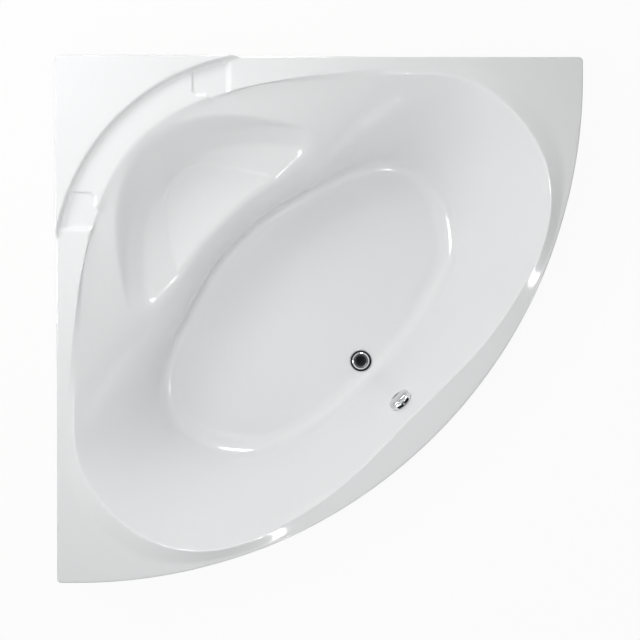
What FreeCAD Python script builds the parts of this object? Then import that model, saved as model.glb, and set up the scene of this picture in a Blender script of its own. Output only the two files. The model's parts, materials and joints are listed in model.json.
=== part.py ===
import FreeCAD, Part
import math
import os
import Sketcher
from FreeCAD import Placement, Rotation, Vector

# Corner bathtub, 1500 x 1500 mm, for a room corner. Every piece is drawn in the tub's diagonal
# frame: x runs from the room corner (0, 0) across the tub to the middle of its round front,
# y runs across the tub and z up from the floor. STAND turns that frame by 45 degrees and puts
# the middle of the 1500 mm square on the origin, so the two wall sides lie along X and Y.

SIZES = {
    # rim and outline
    "side": 1500, "end_flat": 60, "corner_round": 12, "rim_height": 570, "skirt": 45, "wall": 5,
    "rim_round": 4, "shelf_rise": 18, "shelf_radius": 622, "shelf_centre": 871.6,
    "collar_drop": 4, "dish_drop": 11, "dish_back": 386, "dish_front": 492, "dish_side": 112,
    "dish_round": 14, "spout_low": 436, "spout_high": 474, "spout_reach": 175, "collar_reach": 540,
    "rim_overlap": 20,
    # basin
    "mouth_drop": 22, "seat_drop": 200, "knee_drop": 388, "basin_depth": 430, "floor_round": 42,
    "scoop_front": 860,
    # waste set, all turned round the drain's axis
    "drain_x": 1247, "drain_hole": 26, "recess": 37.5, "recess_drop": 4, "boss": 44, "boss_drop": 5,
    "flange_radius": 35, "spigot_radius": 24, "spigot_bore": 21, "stem_radius": 3, "running": 0.05,
    "spigot_end": 112, "cap_radius": 21.5, "body_radius": 30, "port_z": 100, "port_end": 36,
    "pipe_radius": 14, "pipe_wall": 2, "trap_radius": 20, "trap_wall": 2.5, "stub_end": 60,
    "lever_arm": 18, "lever_z": 86.5, "pin_radius": 1.5, "trap_dip": 37, "trap_stride": 62,
    "trap_rise": 6, "trap_run": 120, "trap_bend": 21, "trap_turn": -45, "nut_rim": 7,
    "outlet_length": 180, "outlet_neck": 14, "entry_drop": 12, "entry_end": 33,
    # overflow set, turned round an axis square to the front wall
    "overflow_x": 1402, "overflow_drop": 115, "overflow_tilt": 70, "overflow_hole": 26,
    "overflow_boss": 38, "boss_back": 7, "knob_radius": 35, "knob_rise": 17, "elbow_back": 52,
    "overflow_spigot": 21, "knob_wall": 2.5, "knob_gap": 3, "window_reach": 21, "grip_side": 18,
    "pipe_back": 38, "overflow_end": 42, "exit_end": 34, "cable_radius": 1.8, "cable_side": 20,
    # under-frame and feet
    "board": 16, "board_inset": 48, "rail_width": 30, "rail_height": 20, "rail_wall": 2,
    "front_rail_x": 1120, "rear_rail_x": 800, "front_reach": 590, "rear_reach": 560,
    "rail_end": 30, "spine_foot_x": 330, "post_x": 555, "stud_radius": 5, "stud_top": 150,
    "pad_radius": 28, "pad_height": 16, "nut_height": 8, "nut_flat": 17, "screw_radius": 2,
    # panel and wall brackets
    "panel_wall": 4, "panel_foot": 8, "panel_top": 548, "panel_lip": 18, "bracket_wall": 3,
    "bracket_length": 80, "bracket_hole": 3, "bracket_pitch": 40, "strip_y": 450, "screw_level": 75,
    "bracket_inner": 700, "bracket_outer": 1300,
}


class Size:
    """A length with the spreadsheet expression that it comes from."""

    def __init__(self, value, text):
        self.value = float(value)
        self.text = text

    def __add__(self, other):
        other = asSize(other)
        return Size(self.value + other.value, f"({self.text} + {other.text})")

    def __sub__(self, other):
        other = asSize(other)
        return Size(self.value - other.value, f"({self.text} - {other.text})")

    def __mul__(self, factor):
        return Size(self.value * factor, f"({self.text} * {factor})")

    def __truediv__(self, factor):
        return Size(self.value / factor, f"({self.text} / {factor})")

    def __neg__(self):
        return Size(-self.value, f"(0 - {self.text})")

    def __radd__(self, other):
        return asSize(other) + self

    def __rsub__(self, other):
        return asSize(other) - self


def asSize(number):
    return number if isinstance(number, Size) else Size(number, f"{number}")


class Sheet:
    """The spreadsheet, with each of its cells as an attribute."""

    def __init__(self, document, sizes):
        cells = document.addObject("Spreadsheet::Sheet", "sizes")
        for row, (alias, number) in enumerate(sizes.items(), start=1):
            cells.set(f"A{row}", alias)
            cells.set(f"B{row}", str(number))
            cells.setAlias(f"B{row}", alias)
            setattr(self, alias, Size(number, f"sizes.{alias}"))


doc = FreeCAD.newDocument("corner_bathtub")
dim = Sheet(doc, SIZES)
doc.recompute()

HALF = math.sqrt(0.5)
STAND = Placement(Vector(-dim.side.value / 2, dim.side.value / 2, 0), Rotation(Vector(0, 0, 1), -45))
nodes = []


# ---- drawing helpers ----

def bind(thing, prop, size):
    size = asSize(size)
    if not prop.startswith("."):
        setattr(thing, prop, size.value)
    thing.setExpression(prop, size.text)


def newBody(label, place=Placement()):
    body = doc.addObject("PartDesign::Body", label)
    body.Label = label
    body.Placement = STAND * place
    nodes.append(body)
    return body


def newSketch(body, name, role="XY_Plane", lift=0):
    sketch = body.newObject("Sketcher::SketchObject", name)
    origin = [feature for feature in body.Origin.OriginFeatures if feature.Role == role][0]
    sketch.AttachmentSupport = (origin, "")
    sketch.MapMode = "FlatFace"
    lift = asSize(lift)
    sketch.AttachmentOffset = Placement(Vector(0, 0, lift.value), Rotation())
    sketch.setExpression(".AttachmentOffset.Base.z", lift.text)
    return sketch


def pinPoint(sketch, geometry, point, x, y):
    """Holds one point of a sketch at x, y, both bound to the spreadsheet."""
    for kind, size in (("DistanceX", asSize(x)), ("DistanceY", asSize(y))):
        index = sketch.addConstraint(Sketcher.Constraint(kind, -1, 1, geometry, point, size.value))
        sketch.setExpression(f"Constraints[{index}]", size.text)


def drawLoop(sketch, corners):
    spots = [Vector(asSize(x).value, asSize(y).value, 0) for x, y in corners]
    first = sketch.GeometryCount
    for index, spot in enumerate(spots):
        sketch.addGeometry(Part.LineSegment(spot, spots[(index + 1) % len(spots)]), False)
    for index, (x, y) in enumerate(corners):
        after = (index + 1) % len(spots)
        sketch.addConstraint(Sketcher.Constraint("Coincident", first + index, 2, first + after, 1))
        pinPoint(sketch, first + index, 1, x, y)


def drawCircle(sketch, x, y, radius):
    spot = Vector(asSize(x).value, asSize(y).value, 0)
    circle = Part.Circle(spot, Vector(0, 0, 1), asSize(radius).value)
    geometry = sketch.addGeometry(circle, False)
    pinPoint(sketch, geometry, 3, x, y)
    size = asSize(radius)
    index = sketch.addConstraint(Sketcher.Constraint("Radius", geometry, size.value))
    sketch.setExpression(f"Constraints[{index}]", size.text)


def drawChain(sketch, edges, closed=True):
    """Adds lines, arcs and splines end to end: an arc may be stored the other way round."""
    first = sketch.GeometryCount
    for edge in edges:
        sketch.addGeometry(edge, False)
    last = len(edges) if closed and len(edges) > 1 else len(edges) - 1
    for index in range(last):
        one, two = first + index, first + (index + 1) % len(edges)
        meetings = [
            (sketch.getPoint(one, a).distanceToPoint(sketch.getPoint(two, b)), a, b)
            for a in (1, 2) for b in (1, 2)
        ]
        _, a, b = min(meetings)
        sketch.addConstraint(Sketcher.Constraint("Coincident", one, a, two, b))


def pad(body, sketch, length, name="pad", middle=False):
    feature = body.newObject("PartDesign::Pad", name)
    feature.Profile = sketch
    feature.Midplane = middle
    bind(feature, "Length", length)
    return feature


def pocket(body, sketch, length, name="pocket", upward=False, middle=False):
    feature = body.newObject("PartDesign::Pocket", name)
    feature.Profile = sketch
    feature.Reversed = upward
    feature.Midplane = middle
    bind(feature, "Length", length)
    return feature


def turned(label, rings, place=Placement()):
    """A body of revolution round its own z: each ring is a closed loop of (radius, height)."""
    body = newBody(label, place)
    sketch = newSketch(body, f"{label}_profile", "XZ_Plane")
    for ring in rings:
        drawLoop(sketch, ring)
    feature = body.newObject("PartDesign::Revolution", f"{label}_turn")
    feature.Profile = sketch
    feature.ReferenceAxis = (sketch, ["V_Axis"])
    feature.Angle = 360
    return body


def ringLoop(inner, outer, low, high):
    return [(inner, low), (outer, low), (outer, high), (inner, high)]


def bentPath(points, bend):
    """Straight runs between points, joined by tangent arcs of the given radius."""
    spots = [Vector(x, y, 0) for x, y in points]
    edges = []
    start = spots[0]
    for before, corner, after in zip(spots, spots[1:], spots[2:]):
        inward = (before - corner).normalize()
        outward = (after - corner).normalize()
        half = inward.getAngle(outward) / 2
        reach = bend / math.tan(half)
        entry = corner + inward * reach
        leave = corner + outward * reach
        middle = corner + (inward + outward).normalize() * (bend / math.sin(half) - bend)
        edges.append(Part.LineSegment(start, entry))
        edges.append(Part.Arc(entry, middle, leave))
        start = leave
    edges.append(Part.LineSegment(start, spots[-1]))
    return edges


def bentTube(label, place, path, outer, inner=None):
    """A tube or rod whose path lies in its body's XZ plane and leaves the origin along z."""
    body = newBody(label, place)
    spine = newSketch(body, f"{label}_path", "XZ_Plane")
    drawChain(spine, path, closed=False)
    section = newSketch(body, f"{label}_section")
    drawCircle(section, 0, 0, outer)
    if inner is not None:
        drawCircle(section, 0, 0, inner)
    tube = body.newObject("PartDesign::AdditivePipe", f"{label}_pipe")
    tube.Profile = section
    tube.Spine = (spine, [f"Edge{index + 1}" for index in range(len(path))])


def cylinder(name, radius, low, high, place):
    """A plain cylinder from low to high along the z of its placement."""
    shape = doc.addObject("Part::Cylinder", name)
    bind(shape, "Radius", radius)
    bind(shape, "Height", asSize(high) - low)
    shape.Placement = place * Placement(Vector(0, 0, asSize(low).value), Rotation())
    return shape


def join(name, shapes):
    fused = doc.addObject("Part::MultiFuse", name)
    fused.Shapes = shapes
    fused.Refine = False
    return fused


def cutAway(name, base, tool):
    cut = doc.addObject("Part::Cut", name)
    cut.Base = base
    cut.Tool = tool
    cut.Refine = False
    return cut


# ---- the shell's outlines, in the diagonal frame ----

def fromWalls(along, across):
    """A point given by its distances from the two walls."""
    return Vector((along + across) * HALF, (across - along) * HALF, 0)


def tubOutline(inset):
    """Two straight wall sides, a short flat at each far end and one round front."""
    side = dim.side.value - inset
    flat = dim.end_flat.value
    corner = fromWalls(inset, inset)
    left, leftFlat = fromWalls(side, inset), fromWalls(side, flat)
    right, rightFlat = fromWalls(inset, side), fromWalls(flat, side)
    front = fromWalls(flat, flat) + Vector(side - flat, 0, 0)
    return [
        Part.LineSegment(corner, left),
        Part.LineSegment(left, leftFlat),
        Part.Arc(leftFlat, front, rightFlat),
        Part.LineSegment(rightFlat, right),
        Part.LineSegment(right, corner),
    ]


def shelfOutline(inset, radiusExtra=0):
    """The raised corner shelf: both walls and the arc step between them."""
    radius = dim.shelf_radius.value + radiusExtra
    centre = dim.shelf_centre.value
    spread = math.sqrt(2 * radius ** 2 - (centre - inset / HALF) ** 2)
    reach = (centre - inset / HALF - spread) / 2
    corner = Vector(inset / HALF, 0, 0)
    left = corner + Vector(reach, -reach, 0)
    right = corner + Vector(reach, reach, 0)
    step = Vector(centre - radius, 0, 0)
    return [
        Part.LineSegment(corner, right),
        Part.Arc(right, step, left),
        Part.LineSegment(left, corner),
    ]


# Half outlines of the basin, from the back middle round one side to the front middle.
RIM_EDGE = [
    (333, 0), (372, 188), (452, 332), (566, 491), (719, 678), (865, 822),
    (1018, 866), (1235, 802), (1361, 646), (1434, 473), (1485, 292), (1515, 0),
]
MOUTH_EDGE = [
    (356, 0), (393, 191), (446, 324), (574, 483), (733, 664), (880, 781),
    (1020, 807), (1215, 757), (1337, 634), (1404, 463), (1437, 282), (1439, 0),
]
FLOOR_EDGE = [
    (707, 0), (722, 150), (765, 300), (800, 405), (845, 485), (910, 534),
    (990, 552), (1120, 510), (1215, 430), (1262, 325), (1293, 180), (1300, 0),
]
# How far each of those points has moved from mouth to floor at seat height: the wall bulges
# towards the bather at the back, where it carries the seat, and is straight at the sides.
SEAT_SHARE = [0.83, 0.81, 0.79, 0.72, 0.62, 0.52, 0.46, 0.44, 0.44, 0.45, 0.47, 0.48]


def blend(start, end, shares):
    return [
        (a + (c - a) * share, b + (d - b) * share)
        for (a, b), (c, d), share in zip(start, end, shares)
    ]


def wholeRing(points):
    return points + [(x, -y) for x, y in points[-2:0:-1]]


def grown(points, gap):
    """The half outline moved outwards by gap, square to itself."""
    ring = wholeRing(points)
    moved = []
    for index, (x, y) in enumerate(points):
        before, after = ring[index - 1], ring[(index + 1) % len(ring)]
        run = math.hypot(after[0] - before[0], after[1] - before[1])
        moved.append((
            x - gap * (after[1] - before[1]) / run,
            y + gap * (after[0] - before[0]) / run,
        ))
    return moved


def ringSteps():
    """The mouth ring's running length at each point, shared by every level of the basin."""
    ring = wholeRing(MOUTH_EDGE)
    steps = [0.0]
    for before, after in zip(ring, ring[1:] + ring[:1]):
        steps.append(steps[-1] + math.dist(before, after))
    return steps


def ringCurve(points, height):
    spots = [Vector(x, y, height) for x, y in wholeRing(points)]
    curve = Part.BSplineCurve()
    curve.interpolate(Points=spots, PeriodicFlag=True, Parameters=ringSteps())
    return curve


def ringWire(points, height):
    return Part.Wire([ringCurve(points, height).toShape()])


# ---- acrylic shell ----

def skinned(wires, straight):
    """The faces through a few level rings, straight or smooth from one to the next."""
    return Part.makeLoft(wires, False, straight).Faces


def makeSpace(name, gap):
    """The basin's inside (gap 0) or its back (gap = wall), closed off at rim level."""
    rim = dim.rim_height.value
    knee = rim - dim.knee_drop.value
    depth = dim.basin_depth.value - dim.knee_drop.value + gap
    seatRing = blend(MOUTH_EDGE, FLOOR_EDGE, SEAT_SHARE)
    kneeRing = blend(seatRing, FLOOR_EDGE, [0.8] * len(FLOOR_EDGE))
    top = ringWire(grown(RIM_EDGE, min(gap, 3)), rim - (1 if gap else 0))
    mouth = ringWire(grown(MOUTH_EDGE, gap), rim - dim.mouth_drop.value - gap)
    seat = ringWire(grown(seatRing, gap), rim - dim.seat_drop.value - gap / 3)
    knees = [ringWire(grown(kneeRing, gap), knee)]
    for degrees in (30, 60, 90):
        turn = math.radians(degrees)
        inset = dim.floor_round.value * (1 - math.cos(turn))
        ring = blend(kneeRing, FLOOR_EDGE, [math.sin(turn) / 2] * len(FLOOR_EDGE))
        knees.append(ringWire(grown(ring, gap - inset), knee - depth * math.sin(turn)))
    faces = skinned([top, mouth], True)
    faces += skinned([mouth, seat, knees[0]], False)
    faces += skinned(knees, True)
    faces += [Part.Face(top), Part.Face(knees[-1])]
    skin = Part.makeShell(faces)
    skin.sewShape()
    solid = Part.makeSolid(Part.Shell(skin.Faces))
    if solid.Volume < 0:
        solid.reverse()
    space = doc.addObject("Part::Feature", name)
    space.Shape = solid
    return space


def scoopWire(back, spread, front, height):
    """A U open to the basin: half its width grows with the root of the distance from the back."""
    reach = front - back
    right = [
        Vector(back + reach * share ** 2, spread * math.sqrt(reach) * share, height)
        for share in (0, 0.3, 0.55, 0.8, 1)
    ]
    left = [Vector(spot.x, -spot.y, height) for spot in right[:0:-1]]
    spots = left + right
    curve = Part.BSplineCurve()
    curve.interpolate(Points=spots, Parameters=[index / (len(spots) - 1) for index in range(len(spots))])
    return Part.Wire([curve.toShape(), Part.makeLine(right[-1], left[0])])


# Each level of the seat's scoop: its depth under the rim, the place of its back and its spread.
SCOOP_LEVELS = [(0, 345, 24.0), (120, 406, 24.5), (172, 432, 21.5), (200, 447, 14.0)]


def makeScoop(name, gap):
    """The seat's scoop in four levels: upright at the back, coved at the bottom and sides."""
    rim = dim.rim_height.value
    front = dim.scoop_front.value
    wires = [
        scoopWire(back - gap, spread + gap / 14, front, rim - depth - (gap if depth else 0))
        for depth, back, spread in SCOOP_LEVELS
    ]
    scoop = doc.addObject("Part::Feature", name)
    scoop.Shape = Part.makeLoft(wires, True, False)
    return scoop


def collarOutline(gap):
    """Collar and dishes together: the ring between the shelf's step and the basin."""
    low = arcMeets(dim.dish_front.value + gap, dim.shelf_radius.value + gap)
    inner = Vector((dim.collar_reach + dim.rim_overlap).value, 0, 0)
    right = fromWalls(dim.spout_reach.value, dim.dish_front.value + gap)
    return [
        stepArc(low, gap),
        Part.LineSegment(mirror(low), mirror(right)),
        Part.LineSegment(mirror(right), inner),
        Part.LineSegment(inner, right),
        Part.LineSegment(right, low),
    ]


def mirror(spot):
    return Vector(spot.x, -spot.y, spot.z)


def arcMeets(across, radius):
    """The point of the shelf's arc at a distance from one wall, near the other wall."""
    centre = dim.shelf_centre.value * HALF
    along = centre - math.sqrt(radius ** 2 - (across - centre) ** 2)
    return fromWalls(along, across)


def stepArc(start, gap=0):
    middle = Vector(dim.shelf_centre.value - dim.shelf_radius.value - gap, 0, 0)
    return Part.Arc(start, middle, mirror(start))


def makeBlank():
    """Rim slab and raised shelf, hollow underneath, with the dip that carries the dishes."""
    body = newBody("rim_blank")
    nodes.remove(body)
    body.Placement = Placement()
    rim = dim.rim_height
    wall = dim.wall.value
    outline = newSketch(body, "outline", lift=rim - dim.skirt)
    drawChain(outline, tubOutline(0))
    pad(body, outline, dim.skirt, "rim")
    shelf = newSketch(body, "shelf_outline", lift=rim)
    drawChain(shelf, shelfOutline(0))
    pad(body, shelf, dim.shelf_rise, "shelf")
    doc.recompute()
    corners = edgesWhere(body, lambda box: box.XLength < 0.1 and box.YLength < 0.1)
    fillet(body, "corner_rounds", corners, dim.corner_round)
    doc.recompute()
    high = (dim.rim_height + dim.shelf_rise).value
    crests = edgesWhere(body, lambda box: box.ZLength < 0.1 and abs(box.ZMin - high) < 0.1)
    fillet(body, "shelf_round", crests, dim.rim_round)
    doc.recompute()
    under = newSketch(body, "rim_underside", lift=rim - dim.skirt)
    drawChain(under, tubOutline(wall))
    pocket(body, under, dim.skirt - dim.wall, "rim_hollow", upward=True)
    shelfUnder = newSketch(body, "shelf_underside", lift=rim - dim.wall)
    drawChain(shelfUnder, shelfOutline(wall, wall))
    pocket(body, shelfUnder, dim.shelf_rise, "shelf_hollow", upward=True)
    dip = newSketch(body, "dip_outline", lift=rim - dim.dish_drop - dim.wall)
    drawChain(dip, collarOutline(wall))
    pad(body, dip, dim.dish_drop, "dip")
    return body


def edgesWhere(body, test):
    return [f"Edge{index + 1}" for index, edge in enumerate(body.Shape.Edges) if test(edge.BoundBox)]


def fillet(body, name, edges, radius):
    feature = body.newObject("PartDesign::Fillet", name)
    feature.Base = (body.Group[-2], edges)
    bind(feature, "Radius", radius)
    return feature


def makeRecesses():
    """The collar's shallow step down and the two soap dishes with their spouts."""
    body = newBody("top_recesses")
    nodes.remove(body)
    body.Placement = Placement()
    back = arcMeets(dim.dish_back.value, dim.shelf_radius.value)
    side = fromWalls(dim.dish_side.value, dim.dish_back.value)
    inner = Vector(dim.collar_reach.value, 0, 0)
    collar = newSketch(body, "collar", lift=dim.rim_height - dim.collar_drop)
    drawChain(collar, [
        stepArc(back),
        Part.LineSegment(mirror(back), mirror(side)),
        Part.LineSegment(mirror(side), inner),
        Part.LineSegment(inner, side),
        Part.LineSegment(side, back),
    ])
    pad(body, collar, dim.collar_drop + 1, "collar_step")
    for name, flip in (("left", 1), ("right", -1)):
        dish = newSketch(body, f"{name}_dish", lift=dim.rim_height - dim.dish_drop)
        drawChain(dish, dishOutline(flip))
        pad(body, dish, dim.dish_drop + 1, f"{name}_dish_step")
    return body


def dishOutline(flip):
    """One dish: the shelf's step on its wall side, a rounded inner end and a spout to the basin."""
    back, front = dim.dish_back.value, dim.dish_front.value
    side, reach = dim.dish_side.value, dim.spout_reach.value
    high, low, bend = dim.spout_high.value, dim.spout_low.value, dim.dish_round.value
    radius = dim.shelf_radius.value
    start, end = arcMeets(back, radius), arcMeets(front, radius)
    centre = Vector(dim.shelf_centre.value, 0, 0)
    halfway = centre + ((start + end) / 2 - centre).normalize() * radius
    corner = fromWalls(side - bend, back + bend)
    shoulder = corner + fromWalls(bend * HALF, -bend * HALF)
    spots = [
        fromWalls(side, back + bend), fromWalls(side, low), fromWalls(reach, low),
        fromWalls(reach, high), fromWalls(side + 6, high), fromWalls(side - 12, front), end,
    ]
    edges = [
        Part.LineSegment(start, fromWalls(side - bend, back)),
        Part.Arc(fromWalls(side - bend, back), shoulder, spots[0]),
    ]
    edges += [Part.LineSegment(a, b) for a, b in zip(spots, spots[1:])]
    edges.append(Part.Arc(end, halfway, start))
    if flip < 0:
        turnOver = FreeCAD.Matrix()
        turnOver.scale(1, -1, 1)
        for edge in edges:
            edge.transform(turnOver)
    return edges


DRAIN = Placement(Vector(dim.drain_x.value, 0, 0), Rotation())
OVERFLOW = Placement(
    Vector(dim.overflow_x.value, 0, dim.rim_height.value - dim.overflow_drop.value),
    Rotation(Vector(0, 1, 0), -dim.overflow_tilt.value),
)


def makeShell():
    """One vacuum-formed sheet: rim, shelf, dishes, basin and seat, hollow underneath."""
    floor = dim.rim_height - dim.basin_depth
    outside = join("shell_outside", [
        makeBlank(),
        makeSpace("basin_back", dim.wall.value),
        makeScoop("seat_back", dim.wall.value),
        cylinder("drain_boss", dim.boss, floor - dim.wall - dim.boss_drop, floor, DRAIN),
    ])
    inside = join("shell_inside", [makeSpace("basin_inside", 0), makeScoop("seat_inside", 0)])
    hollow = cutAway("shell_hollow", outside, inside)
    boss = cylinder("overflow_boss", dim.overflow_boss, -dim.boss_back, 0, OVERFLOW)
    bossed = join("shell_bossed", [hollow, boss])
    openings = join("shell_openings", [
        makeRecesses(),
        cylinder("drain_recess", dim.recess, floor - dim.recess_drop, floor + 5, DRAIN),
        cylinder("drain_hole", dim.drain_hole, floor - 20, floor + 5, DRAIN),
        cylinder("overflow_face_cut", dim.overflow_boss, 0, 12, OVERFLOW),
        cylinder("overflow_hole", dim.overflow_hole, -20, 12, OVERFLOW),
    ])
    shell = cutAway("acrylic_shell", bossed, openings)
    shell.Placement = STAND
    nodes.append(shell)


# ---- pop-up waste, round the drain's axis ----

def addSpider(body, bore, hub, reach, low, high):
    """Three arms that carry a bored hub in the middle of a tube."""
    middle = newSketch(body, f"{body.Label}_hub", lift=low)
    drawCircle(middle, 0, 0, hub)
    pad(body, middle, asSize(high) - low, f"{body.Label}_hub_pad")
    arm = newSketch(body, f"{body.Label}_arm", lift=low)
    drawLoop(arm, [(hub - 2, -2), (reach, -2), (reach, 2), (hub - 2, 2)])
    armPad = pad(body, arm, asSize(high) - low, f"{body.Label}_arm_pad")
    doc.recompute()
    arms = body.newObject("PartDesign::PolarPattern", f"{body.Label}_arms")
    arms.Originals = [armPad]
    arms.Axis = (arm, ["N_Axis"])
    arms.Angle = 360
    arms.Occurrences = 3
    body.Tip = arms
    hole = newSketch(body, f"{body.Label}_bore", lift=low)
    drawCircle(hole, 0, 0, bore)
    pocket(body, hole, asSize(high) - low, f"{body.Label}_bore_cut", upward=True)


def addSideTube(body, name, side, z, start, end, outer, bore=None, reach=None):
    """A stub along the body's x from start to end, bored on to reach when it is a port."""
    stub = newSketch(body, name, "YZ_Plane", lift=start)
    drawCircle(stub, side, z, outer)
    pad(body, stub, asSize(end) - start, f"{name}_pad")
    if bore is not None:
        low = reach if asSize(reach).value < asSize(start).value else start
        high = end if asSize(reach).value < asSize(start).value else reach
        hole = newSketch(body, f"{name}_bore", "YZ_Plane", lift=low)
        drawCircle(hole, side, z, bore)
        pocket(body, hole, asSize(high) - low, f"{name}_bore_cut", upward=True)


def makeWaste():
    floor = dim.rim_height - dim.basin_depth
    seat = floor - dim.recess_drop
    under = floor - dim.wall - dim.boss_drop
    spigot, bore, lip = dim.spigot_radius, dim.spigot_bore, dim.flange_radius
    stem, gap = dim.stem_radius, dim.running
    sleeve = spigot + gap
    bodyTop = under - 3
    pipeBore = dim.trap_radius - dim.trap_wall

    flange = turned("waste_flange", [[
        (bore, dim.spigot_end), (spigot, dim.spigot_end), (spigot, seat + 1.5), (lip, seat + 1.5),
        (lip, floor - 1.4), (lip - 1, floor - 0.4), (lip - 6, floor - 0.4),
        (bore + 2.5, floor - 2), (bore, floor - 6.5),
    ]], DRAIN)
    addSpider(flange, stem + gap, 7, bore + 1, floor - 26, floor - 18)
    turned("waste_seal_upper", [ringLoop(27, 34, seat, seat + 1.5)], DRAIN)
    turned("waste_seal_lower", [ringLoop(27, 34, bodyTop, under)], DRAIN)

    cap = dim.cap_radius
    turned("plug_cap", [[
        (0, floor - 5.5), (17, floor - 5.5), (17, floor - 2.8), (cap, floor - 2.8),
        (cap + 0.5, floor - 1.6), (cap - 0.3, floor - 0.4), (cap - 9, floor + 0.6), (0, floor + 1),
    ]], DRAIN)
    turned("plug_seal", [[
        (17, floor - 5.5), (cap - 0.5, floor - 5.5), (cap + 0.6, floor - 4),
        (cap + 0.6, floor - 2.8), (17, floor - 2.8),
    ]], DRAIN)
    turned("plug_stem", [ringLoop(0, stem, dim.lever_z + 2.3, floor - 5.5)], DRAIN)

    outer, low = dim.body_radius, dim.stub_end
    body = turned("waste_body", [[
        (sleeve, bodyTop), (outer + 6, bodyTop), (outer + 6, bodyTop - 4), (outer, bodyTop - 6),
        (outer, low + 14), (dim.trap_radius, low + 12), (dim.trap_radius, low), (pipeBore, low),
        (pipeBore, low + 17), (sleeve, low + 17),
    ]], DRAIN)
    addSideTube(body, "waste_port", 0, dim.port_z, 26, dim.port_end, dim.pipe_radius + 2,
                bore=dim.pipe_radius - dim.pipe_wall, reach=15)
    addSideTube(body, "cable_entry", dim.cable_side, dim.port_z - dim.entry_drop, 17, dim.entry_end, 5)
    pinHole = newSketch(body, "pin_hole", "XZ_Plane")
    drawCircle(pinHole, dim.lever_arm, dim.lever_z, dim.pin_radius)
    pocket(body, pinHole, 38, "pin_hole_cut", middle=True)

    pin = newBody("lever_pin", DRAIN)
    pinRound = newSketch(pin, "pin_round", "XZ_Plane")
    drawCircle(pinRound, dim.lever_arm, dim.lever_z, dim.pin_radius)
    pad(pin, pinRound, 38, "pin_length", middle=True)

    lever = newBody("lift_lever", DRAIN)
    arm = newSketch(lever, "lever_blade", "XZ_Plane")
    thick = dim.pin_radius
    drawLoop(arm, [
        (-1, dim.lever_z - thick), (dim.lever_arm, dim.lever_z - thick),
        (dim.lever_arm, dim.lever_z + thick), (-1, dim.lever_z + thick),
    ])
    pad(lever, arm, 6, "lever_blade_pad", middle=True)
    eye = newSketch(lever, "lever_eye", "XZ_Plane")
    drawCircle(eye, dim.lever_arm, dim.lever_z, 3.5)
    pad(lever, eye, 6, "lever_eye_pad", middle=True)
    eyeHole = newSketch(lever, "lever_eye_hole", "XZ_Plane")
    drawCircle(eyeHole, dim.lever_arm, dim.lever_z, dim.pin_radius + gap)
    pocket(lever, eyeHole, 8, "lever_eye_cut", middle=True)


def makeTrap():
    """The water trap under the drain and its outlet, which points at the left wall."""
    radius, gap = dim.trap_radius, dim.running
    bore = radius - dim.trap_wall
    low = dim.stub_end.value
    down = Rotation(Vector(0, -1, 0), Vector(-1, 0, 0), Vector(0, 0, -1), "ZXY")
    dip, stride, rise, run = (dim.trap_dip.value, dim.trap_stride.value, dim.trap_rise.value,
                              dim.trap_run.value)
    swing = DRAIN * Placement(Vector(), Rotation(Vector(0, 0, 1), dim.trap_turn.value))
    path = bentPath([(0, 0), (0, dip), (stride, dip), (stride, -rise), (run, -rise)], dim.trap_bend.value)
    top = swing * Placement(Vector(0, 0, low), Rotation())
    bentTube("trap_bend", top * Placement(Vector(), down), path, radius, bore)
    grip = radius + dim.nut_rim
    turned("trap_nut", [ringLoop(radius + gap, grip, -dim.nut_rim, dim.nut_rim)], top)
    sideways = swing * Placement(Vector(0, -run, low + rise), Rotation(Vector(1, 0, 0), 90))
    neck = radius - gap * 5
    turned("outlet_pipe", [[
        (bore, 0), (neck, 0), (neck, dim.outlet_neck), (radius, dim.outlet_neck),
        (radius, dim.outlet_length), (bore, dim.outlet_length),
    ]], sideways)
    turned("outlet_nut", [ringLoop(radius + gap, grip, -9, dim.outlet_neck - 2)], sideways)


# ---- overflow, round an axis square to the front wall ----

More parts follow.
